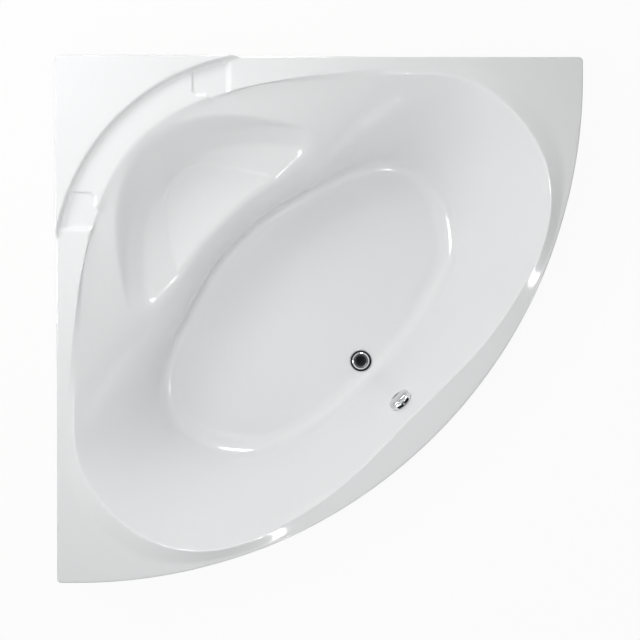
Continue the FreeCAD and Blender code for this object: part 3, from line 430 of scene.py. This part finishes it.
def ramp(share):  # a smooth rise from 0 to 1
    share = np.clip(share, 0, 1)
    return share ** 3 * (share * (share * 6 - 15) + 10)


def blurred(values, width, axis, wrap):  # running mean that closes on itself or keeps its ends
    values = np.moveaxis(values, axis, 0)
    if wrap:
        padded = np.concatenate([values[-width:], values, values[:width]])
    else:
        ahead = 2 * values[0] - values[width:0:-1]
        behind = 2 * values[-1] - values[-2:-width - 2:-1]
        padded = np.concatenate([ahead, values, behind])
    total = np.cumsum(np.concatenate([np.zeros_like(padded[:1]), padded]), axis=0)
    mean = (total[2 * width + 1:] - total[:-2 * width - 1]) / (2 * width + 1)
    return np.moveaxis(mean, 0, axis)


def dishDistance(near, far):  # signed distance to the rounded dish outline, negative inside
    corners = np.array(shell["dishOutline"], float)
    best = np.full(near.shape, 1e9)
    inside = np.zeros(near.shape, bool)
    for a, b in zip(corners, np.roll(corners, -1, axis=0)):
        edge = b - a
        dx, dy = near - a[0], far - a[1]
        share = np.clip((dx * edge[0] + dy * edge[1]) / (edge @ edge), 0, 1)
        best = np.minimum(best, np.hypot(dx - edge[0] * share, dy - edge[1] * share))
        crosses = (a[1] > far) != (b[1] > far)
        with np.errstate(divide="ignore", invalid="ignore"):
            reach = edge[0] * (far - a[1]) / edge[1] + a[0]
        inside ^= crosses & (near < reach)
    return np.where(inside, -best, best)


def grown(name, place):
    start, width = shell[name]
    return ramp((place - start) / width)


def deckHeight(s, t):  # near and far are the distances from the two walls
    near, far = (s - np.abs(t)) * slant, (s + np.abs(t)) * slant
    inward = shell["shelfRadius"] - np.hypot(s - shell["shelfCentre"], t)
    raised = 1 - ramp((inward + shell["stepWidth"] / 2) / shell["stepWidth"])
    raised = raised * (far < shell["shelfReach"])
    plain = shell["collar"] + (tub["rim"] - shell["collar"]) * grown("collarEnd", far)
    width = shell["dishEdge"] + shell["softEdge"] * grown("softEdgeStart", far)
    sunk = 1 - ramp((dishDistance(near, far) + width * shell["edgeShift"]) / width)
    low = plain + (shell["dish"] - plain) * sunk - shell["endDrop"] * grown("farDeck", np.abs(t))
    return low + (shell["shelf"] - low) * raised


def scoopHeight(s, t):  # floor of the seat's scoop, high above everything outside it
    levels = np.array(shell["scoop"])
    depth = np.linspace(0, levels[-1, 0], shell["scoopSteps"])
    back, spread = (
        blurred(np.interp(depth, levels[:, 0], levels[:, column]), soft, 0, False)
        for column, soft in zip((1, 2), shell["scoopSoft"]))
    found = np.full(s.shape, -1.0)
    before = spread[0] * np.sqrt(np.clip(s - back[0], 0, None)) - np.abs(t)
    found[before > 0] = 0
    for k in range(1, len(depth)):
        now = spread[k] * np.sqrt(np.clip(s - back[k], 0, None)) - np.abs(t)
        share = np.clip(before / np.where(before - now > 1e-9, before - now, 1e-9), 0, 1)
        reach = depth[k - 1] + (depth[k] - depth[k - 1]) * np.where(now > 0, 1, share)
        found = np.where(before > 0, reach, found)
        before = now
    missed = (found < 0) | (s > shell["scoopEnd"])
    return np.where(missed, shell["outside"], tub["rim"] - found)


def softMin(one, two, width):  # the lower of two heights with a rounded change between them
    share = np.clip(0.5 + 0.5 * (two - one) / width, 0, 1)
    return two + (one - two) * share - width * share * (1 - share)


# ---- acrylic shell: the mesh lines ----

def linePlaces():  # where the lines cross the mouth ring, and where on the outline each starts
    steps = np.linspace(0, ringSteps[ringPoints - 1], weave["ringSamples"])
    rim = ringSpline(rimRing)(steps)
    far = (rim[:, 0] + np.abs(rim[:, 1])) * slant
    first, last = weave["wallEnds"]
    joined = (far > first) & (far < last) & (steps < weave["joinedSteps"])
    later = weave["anchorRuns"]
    laterSteps = ringSteps[ringPoints - len(later):ringPoints]
    anchorSteps = np.concatenate([[0], steps[joined], laterSteps])
    anchorRuns = np.concatenate([[0], far[joined], later])
    runs = np.interp(steps, anchorSteps, anchorRuns)
    density = np.full(steps.shape, 1 / weave["gap"])  # lines in each millimetre of the ring
    back = steps < weave["backSteps"]
    density[back] = 1 / weave["backGap"]
    first, last = weave["dishReach"]
    density[(far > first) & (far < last) & back] = 1 / weave["dishGap"]
    density[np.abs(runs - tub["side"]) < weave["cornerReach"]] = 1 / weave["cornerGap"]
    density = blurred(density, weave["gapSoft"], 0, False)
    total = np.concatenate([[0], np.cumsum((density[1:] + density[:-1]) / 2)])
    picked = np.interp(np.linspace(0, total[-1], weave["halfLines"] + 1), total, steps)
    picked = np.concatenate([picked, ringSteps[-1] - picked[-2:0:-1]])
    onLeft = picked > ringSteps[-1] / 2
    mirrored = np.where(onLeft, ringSteps[-1] - picked, picked)
    side = np.where(onLeft, -1.0, 1.0)
    return picked, np.interp(mirrored, steps, runs), side


def wallCurve(mouth, seat, knee, high):  # the basin wall as a smooth curve that never folds back
    middle, low = shell["seat"], shell["knee"]
    upper, under = (seat - mouth) / (high - middle), (knee - seat) / (middle - low)
    upperSize, underSize = (np.linalg.norm(slope, axis=1)[:, None] for slope in (upper, under))
    centre = (upper * (middle - low) + under * (high - middle)) / (high - low)
    limit = 3 * np.minimum(upperSize, underSize) / np.linalg.norm(centre, axis=1)[:, None]
    centre = centre * np.minimum(1, limit)
    # these slopes leave the curve unbent at its two ends, as far as that still leads inwards
    start = 1.5 * upper - 0.5 * centre
    share = ((1.5 * under - 0.5 * centre) * under).sum(axis=1)[:, None] / underSize ** 2
    end = under * np.clip(share, 0, None)

    def hermite(one, two, slopeOne, slopeTwo, span, share):
        rest = 1 - share
        return (one * (1 + 2 * share) * rest ** 2 + two * share ** 2 * (3 - 2 * share)
                + span * (slopeOne * share * rest ** 2 - slopeTwo * share ** 2 * rest))

    def at(height):
        fallen = np.clip((high - height) / (high - middle), 0, 1)
        above = hermite(mouth, seat, start, centre, high - middle, fallen)
        fallen = np.clip((middle - height) / (middle - low), 0, 1)
        below = hermite(seat, knee, centre, end, middle - low, fallen)
        return np.where(height > middle, above, below)
    return at, np.linalg.norm(end, axis=1)[:, None]


def shares(name):  # even steps to the end of one part of a line, without its first point
    return np.linspace(0, 1, weave[name])[1:]


def shellLines():  # every line from the skirt's foot to the middle of the floor, finely sampled
    steps, runs, side = linePlaces()
    flip = np.stack([np.ones_like(side), side], axis=-1)
    edge, rim = shell["edge"], ringSpline(rimRing)(steps)
    mouth, seat, knee = (ringSpline(ring)(steps) for ring in (mouthRing, seatRing, kneeRing))
    outer, inner = outlineAt(runs, 0) * flip, outlineAt(runs, edge) * flip
    top = deckHeight(inner[:, 0], inner[:, 1])
    rows = []

    def addRow(flat, height):
        rows.append(np.column_stack([flat, np.broadcast_to(height, len(flat))]))

    for share in np.linspace(0, 1, weave["skirtRows"]):
        addRow(outer, shell["skirtLow"] + (top - edge - shell["skirtLow"]) * share)
    for angle in np.linspace(0, math.pi / 2, weave["edgeRows"])[1:]:
        flat = inner + (outer - inner) * math.cos(angle)
        addRow(flat, top - edge + edge * math.sin(angle))
    for share in shares("deckRows"):
        flat = inner + (rim - inner) * share
        addRow(flat, deckHeight(flat[:, 0], flat[:, 1]))
    brink = rows[-1][:, 2]
    mirrored = np.minimum(steps, ringSteps[-1] - steps)
    high = np.interp(mirrored, ringSteps[:ringPoints], shell["mouthLevels"])
    for _ in range(2):
        high = blurred(high, weave["mouthSoft"], 0, True)
    high = high[:, None]
    for share in shares("bandRows"):
        addRow(rim + (mouth - rim) * share, brink + (high[:, 0] - brink) * share)
    wallAt, kneeSlope = wallCurve(mouth, seat, knee, high)
    for share in shares("wallRows"):
        height = high + (shell["knee"] - high) * share
        addRow(wallAt(height), height[:, 0])
    along = ringSpline(kneeRing)(steps + 1) - ringSpline(kneeRing)(steps - 1)
    inward = np.stack([along[:, 1], -along[:, 0]], axis=-1)
    inward /= np.linalg.norm(inward, axis=1)[:, None]
    depth = shell["knee"] - tub["floor"]
    heel = knee + inward * kneeSlope * depth
    toe = heel + inward * np.hypot(kneeSlope, 1) * depth
    for share in shares("footRows"):
        flat = knee * (1 - share) ** 2 + 2 * heel * share * (1 - share) + toe * share ** 2
        addRow(flat, tub["floor"] + depth * (1 - share) ** 2)
    last = rows[-1][:, :2]
    for share in shares("floorRows"):
        addRow(last + (np.array(shell["floorCentre"]) - last) * share, tub["floor"])
    lines = np.stack(rows, axis=1)
    scoop = scoopHeight(lines[..., 0], lines[..., 1])
    lines[..., 2] = softMin(lines[..., 2], scoop, shell["fillet"])
    return lines


def resample(lines, count, weight=None):  # the same number of points on every line
    step = np.linalg.norm(np.diff(lines, axis=1), axis=2)
    if weight is not None:
        step = (weight[:, 1:] + weight[:, :-1]) / 2
    total = np.concatenate([np.zeros((len(lines), 1)), np.cumsum(step, axis=1)], axis=1)
    picked = np.empty((len(lines), count, 3))
    for number, line in enumerate(lines):
        spots = np.linspace(0, total[number, -1], count)
        for axis in range(3):
            picked[number, :, axis] = np.interp(spots, total[number], line[:, axis])
    return picked


def shellGrid():  # points close together where a line turns and wide apart where it runs straight
    lines = resample(shellLines(), weave["fine"])
    for _ in range(weave["softPasses"]):
        smooth = blurred(lines, weave["lineSoft"], 1, False)
        lines[:, weave["softFrom"]:] = smooth[:, weave["softFrom"]:]
    ahead = np.diff(lines, axis=1)
    length = np.linalg.norm(ahead, axis=2)
    ahead /= length[..., None]
    turn = np.arccos(np.clip((ahead[:, 1:] * ahead[:, :-1]).sum(axis=2), -1, 1))
    turn = np.concatenate([turn[:, :1], turn, turn[:, -1:]], axis=1)
    weight = length.mean(axis=1)[:, None] / weave["straightGap"] + weave["turnWeight"] * turn
    for width, axis in weave["weightSoft"]:
        weight = blurred(weight, width, axis, axis == 0)
    return resample(lines, weave["rings"] + 1, np.clip(weight, weave["leastWeight"], None))


# ---- acrylic shell: the piece ----

def newPiece(name, mesh, slot, body, replaced):
    piece = bpy.data.objects.new(name, mesh)
    bpy.context.scene.collection.objects.link(piece)
    if not mesh.materials:
        mesh.materials.append(looks[slot])
    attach(piece, body)
    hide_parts(*replaced)


def meshFrom(bm, name, place, sharp):  # sharp is the least angle of a hard edge, in degrees
    mesh = bpy.data.meshes.new(name)
    bmesh.ops.transform(bm, matrix=place, verts=bm.verts)
    bm.to_mesh(mesh)
    bm.free()
    mesh.shade_smooth()
    mesh.set_sharp_from_angle(angle=math.radians(sharp))
    return mesh


def addRound(bm, place, radius, low, high):
    made = bmesh.ops.create_cone(
        bm, cap_ends=True, segments=shell["roundSteps"], radius1=radius, radius2=radius,
        depth=high - low)
    bmesh.ops.translate(bm, vec=(0, 0, (high + low) / 2), verts=made["verts"])
    bmesh.ops.transform(bm, matrix=place, verts=made["verts"])


def cutter(name):  # one round at the waste and one at the overflow
    bm = bmesh.new()
    for place, sizes in zip((drainFrame, overflowFrame), shell[name]):
        addRound(bm, place, *sizes)
    mesh = bpy.data.meshes.new(name)
    bm.to_mesh(mesh)
    bm.free()
    tool = bpy.data.objects.new(name, mesh)
    bpy.context.scene.collection.objects.link(tool)
    return tool


def buildShell():  # the lines are laid on a grid, given their thickness, then drilled
    grid = shellGrid()
    lineCount, ringCount = grid.shape[0], grid.shape[1] - 1
    bm = bmesh.new()
    bmesh.ops.create_grid(bm, x_segments=lineCount, y_segments=ringCount, size=1)
    for vert in bm.verts:
        line = round((vert.co.x + 1) / 2 * lineCount) % lineCount
        ring = round((vert.co.y + 1) / 2 * ringCount)
        vert.co = stand @ Vector(grid[line, ring])
    bmesh.ops.remove_doubles(bm, verts=bm.verts, dist=shell["mergeGap"])
    bmesh.ops.recalc_face_normals(bm, faces=bm.faces)
    floorFace = min(bm.faces, key=lambda face: face.calc_center_median().z)
    if floorFace.normal.z < 0:
        bmesh.ops.reverse_faces(bm, faces=bm.faces)
    mesh = bpy.data.meshes.new("shell")
    bm.to_mesh(mesh)
    bm.free()
    piece = bpy.data.objects.new("shell", mesh)
    bpy.context.scene.collection.objects.link(piece)
    mesh.materials.append(looks["acrylic"])
    mesh.materials.append(looks["backing"])
    wall = piece.modifiers.new("wall", "SOLIDIFY")
    wall.thickness = shell["wall"] / 1000
    wall.offset = -1
    wall.material_offset = 1
    wall.use_quality_normals = True
    tools = [cutter(name) for name in ("bosses", "holes", "bores")]
    for tool, operation in zip(tools, ("UNION", "DIFFERENCE", "DIFFERENCE")):
        cut = piece.modifiers.new(tool.name, "BOOLEAN")
        cut.operation = operation
        cut.solver = "MANIFOLD"
        cut.object = tool
    graph = bpy.context.evaluated_depsgraph_get()
    made = bpy.data.meshes.new_from_object(piece.evaluated_get(graph))
    for thing in (piece, *tools):
        bpy.data.objects.remove(thing)
    made.shade_smooth()
    made.set_sharp_from_angle(angle=math.radians(shell["sharp"]))
    print("shell:", len(made.vertices), "vertices")
    newPiece("shell_moulding", made, "acrylic", "tub", ["acrylic_shell"])


buildShell()


# ---- turned fittings ----

# how every turned fitting is made, in millimetres, radians and for sharp in degrees
turning = {
    "steps": 128, "mergeGap": 0.0005, "softAngle": 0.5, "softSegments": 2, "sharp": 35,
    "armOverlap": 1,
}


def addSpider(bm, spider):  # three arms that carry a bored hub in the middle of a tube
    low, high, start = spider["low"], spider["high"], spider["hub"] - turning["armOverlap"]
    span = spider["reach"] - start
    for turn in range(3):
        made = bmesh.ops.create_cube(bm, size=1)
        shift = Matrix.Translation((start + span / 2, 0, (low + high) / 2))
        spread = Matrix.Diagonal((span, spider["width"], high - low, 1))
        turned = Matrix.Rotation(math.tau * turn / 3, 4, "Z")
        bmesh.ops.transform(bm, matrix=turned @ shift @ spread, verts=made["verts"])


def addTurned(bm, profile):  # spins a closed (radius, height) profile once round
    verts = [bm.verts.new((radius, 0, height)) for radius, height in profile]
    edges = [bm.edges.new(pair) for pair in zip(verts, verts[1:] + verts[:1])]
    bmesh.ops.spin(
        bm, geom=verts + edges, axis=(0, 0, 1), cent=(0, 0, 0), dvec=(0, 0, 0),
        angle=math.tau, steps=turning["steps"], use_merge=True, use_duplicate=False)


def buildTurned(name, body, fitting, place, replaced):
    bm = bmesh.new()
    spider = fitting.get("spider")
    addTurned(bm, fitting["profile"])
    if spider:
        bore, hub, low, high = (spider[key] for key in ("bore", "hub", "low", "high"))
        addTurned(bm, [(bore, low), (hub, low), (hub, high), (bore, high)])
    bmesh.ops.remove_doubles(bm, verts=bm.verts, dist=turning["mergeGap"])
    loose = [edge for edge in bm.edges if not edge.link_faces]
    bmesh.ops.delete(bm, geom=loose, context="EDGES")
    bmesh.ops.recalc_face_normals(bm, faces=bm.faces)
    if "soft" in fitting:
        rims = [
            edge for edge in bm.edges
            if edge.is_manifold and edge.calc_face_angle() > turning["softAngle"]
        ]
        bmesh.ops.bevel(
            bm, geom=rims, offset=fitting["soft"], affect="EDGES",
            segments=turning["softSegments"], profile=0.5, material=-1)
    if spider:
        addSpider(bm, spider)
    newPiece(name, meshFrom(bm, name, place, turning["sharp"]), "chrome", body, replaced)


wasteRing = {
    "profile": [
        (21, 112), (24, 112), (24, 137.5), (35, 137.5), (35, 138.6), (34, 139.6), (29, 139.6),
        (23.5, 138), (21, 133.5),
    ],
    "soft": 0.35,
    "spider": {"bore": 3.05, "hub": 7, "reach": 22, "low": 114, "high": 122, "width": 4},
}
buildTurned("waste_ring", "tub", wasteRing, drainFrame, ["waste_flange"])

plugDome = {
    "profile": [
        (0, 134.5), (17, 134.5), (17, 137.2), (21.5, 137.2), (22, 138.4), (21.2, 139.6),
        (18.8, 140.1), (15.8, 140.45), (12.5, 140.6), (8, 140.82), (4, 140.95), (0, 141),
    ],
}
buildTurned("plug_dome", "plug", plugDome, drainFrame, ["plug_cap"])

overflowRing = {
    "profile": [(21, -21), (24, -21), (24, 0), (33, 0), (33, 1.7), (32, 2.5), (21, 2.5)],
    "soft": 0.3,
    "spider": {"bore": 3.05, "hub": 7, "reach": 22, "low": -14, "high": -5, "width": 4},
}
buildTurned("overflow_ring", "tub", overflowRing, overflowFrame, ["overflow_face"])


# ---- smooth copies of the moulded and turned CAD nodes ----

copies = {"mergeGap": 0.00002, "sharp": 30}


def addSmoothCopy(name):
    bm = bmesh.new()
    bm.from_mesh(nodes[name].data)
    bmesh.ops.remove_doubles(bm, verts=bm.verts, dist=copies["mergeGap"])
    mesh = meshFrom(bm, f"{name}_dressed", Matrix.Identity(4), copies["sharp"])
    mesh.materials.clear()
    newPiece(f"{name}_piece", mesh, slots[name], nodes[name]["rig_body"], [name])


slots = {part["node"]: part["material_slot"] for part in frame["record"]["subparts"]}
roundNodes = [
    "overflow_knob", "waste_body", "trap_bend", "trap_nut", "outlet_pipe", "outlet_nut",
    "overflow_body", "overflow_pipe", "pipe_nut_upper", "pipe_nut_lower", "knob_spindle",
    "plug_stem", "lifting_cable", "waste_seal_upper", "waste_seal_lower", "overflow_seal",
    "plug_seal", "front_panel", "lever_pin",
]
roundNodes += [name for name in sorted(nodes) if name.startswith(("foot_pad_", "foot_stud_"))]
for name in roundNodes:
    addSmoothCopy(name)
for name, node in nodes.items():
    node.data.materials.clear()
    node.data.materials.append(looks[slots[name]])
print("pieces dressed:", len(roundNodes))


# ---- stage ----

stage = {
    "radius": 9.0, "height": -0.0005, "plain": (0.86, 0.86, 0.86), "whiteShare": 0.94,
    "dome": 0.44, "target": (0.05, -0.05, 0.3),
    # the dome by height: white round the sides and dark overhead, where level surfaces mirror it
    "domeStops": [
        (0.0, (1, 1, 1)), (0.82, (1, 1, 1)), (0.93, (0.12, 0.12, 0.12)), (1.0, (0.01, 0.01, 0.012)),
    ],
    # lamps by name, watts, width and place: soft ones shade the acrylic, shine ones only draw the
    # highlights along its edges
    "soft": [
        ("overhead", 28.0, 1.0, (-0.45, 0.1, 2.9)),
        ("back", 4.0, 1.2, (-0.9, 1.6, 1.8)),
        ("corner", 10.0, 1.0, (-1.45, 1.25, 1.6)),
    ],
    "shine": [
        ("shine_left", 60.0, 0.7, (-2.4, 0.2, 1.3)), ("shine_back", 60.0, 0.7, (-0.2, 2.4, 1.3)),
        ("shine_right", 18.0, 0.4, (2.2, -0.2, 3.3)), ("shine_front", 18.0, 0.4, (0.2, -2.2, 3.3)),
    ],
}


def buildFloor():  # the camera sees it nearly white, and it still takes the tub's shadow
    bm = bmesh.new()
    bmesh.ops.create_circle(bm, cap_ends=True, segments=96, radius=stage["radius"])
    mesh = bpy.data.meshes.new("stage_floor")
    bm.to_mesh(mesh)
    bm.free()
    floor = bpy.data.objects.new("stage_floor", mesh)
    floor.location = (0, 0, stage["height"])
    bpy.context.scene.collection.objects.link(floor)
    paint = Paint(bpy.data.materials.new("stage_floor"))
    tree = paint.tree
    for node in list(tree.nodes):
        tree.nodes.remove(node)
    seen = paint.node("LightPath", {}, {}, "Is Camera Ray")
    plain = paint.node("BsdfDiffuse", {}, {"Color": stage["plain"]})
    white = paint.node("Emission", {}, {"Color": (1, 1, 1), "Strength": 1.0})
    mixed = paint.node("MixShader", {}, {0: stage["whiteShare"] * seen, 1: plain, 2: white})
    out = tree.nodes.new("ShaderNodeOutputMaterial")
    tree.links.new(mixed.socket, out.inputs[0])
    mesh.materials.append(paint.owner)


buildFloor()


def buildLight():
    world = bpy.data.worlds.new("studio")
    bpy.context.scene.world = world
    paint = Paint(world)
    tree = paint.tree
    back = tree.nodes["Background"]
    spot = paint.node("TexCoord", {}, {}, "Generated")
    up = paint.node("SeparateXYZ", {}, {"Vector": spot}, "Z")
    dome = paint.node("ValToRGB", {"stops": stage["domeStops"]}, {"Fac": up})
    paint.feed(back.inputs["Color"], dome)
    path = tree.nodes.new("ShaderNodeLightPath")
    camera, glossy, through = (Wire(tree, path.outputs[name]) for name in (
        "Is Camera Ray", "Is Glossy Ray", "Is Transmission Ray"))
    bare = camera.maths("MAXIMUM", camera, glossy.maths("MAXIMUM", glossy, through))
    paint.feed(back.inputs["Strength"], stage["dome"] + (1 - stage["dome"]) * bare)

    def addLamp(name, energy, size, place):
        lamp = bpy.data.lights.new(name, "AREA")
        lamp.shape = "DISK"
        lamp.size = size
        lamp.energy = energy
        lampObject = bpy.data.objects.new(name, lamp)
        lampObject.location = place
        aim = Vector(stage["target"]) - lampObject.location
        lampObject.rotation_euler = aim.to_track_quat("-Z", "Y").to_euler()
        bpy.context.scene.collection.objects.link(lampObject)
        return lampObject

    for lamp in stage["soft"]:
        addLamp(*lamp).visible_glossy = False
    for lamp in stage["shine"]:
        addLamp(*lamp).visible_diffuse = False


buildLight()
print("stage and light set")
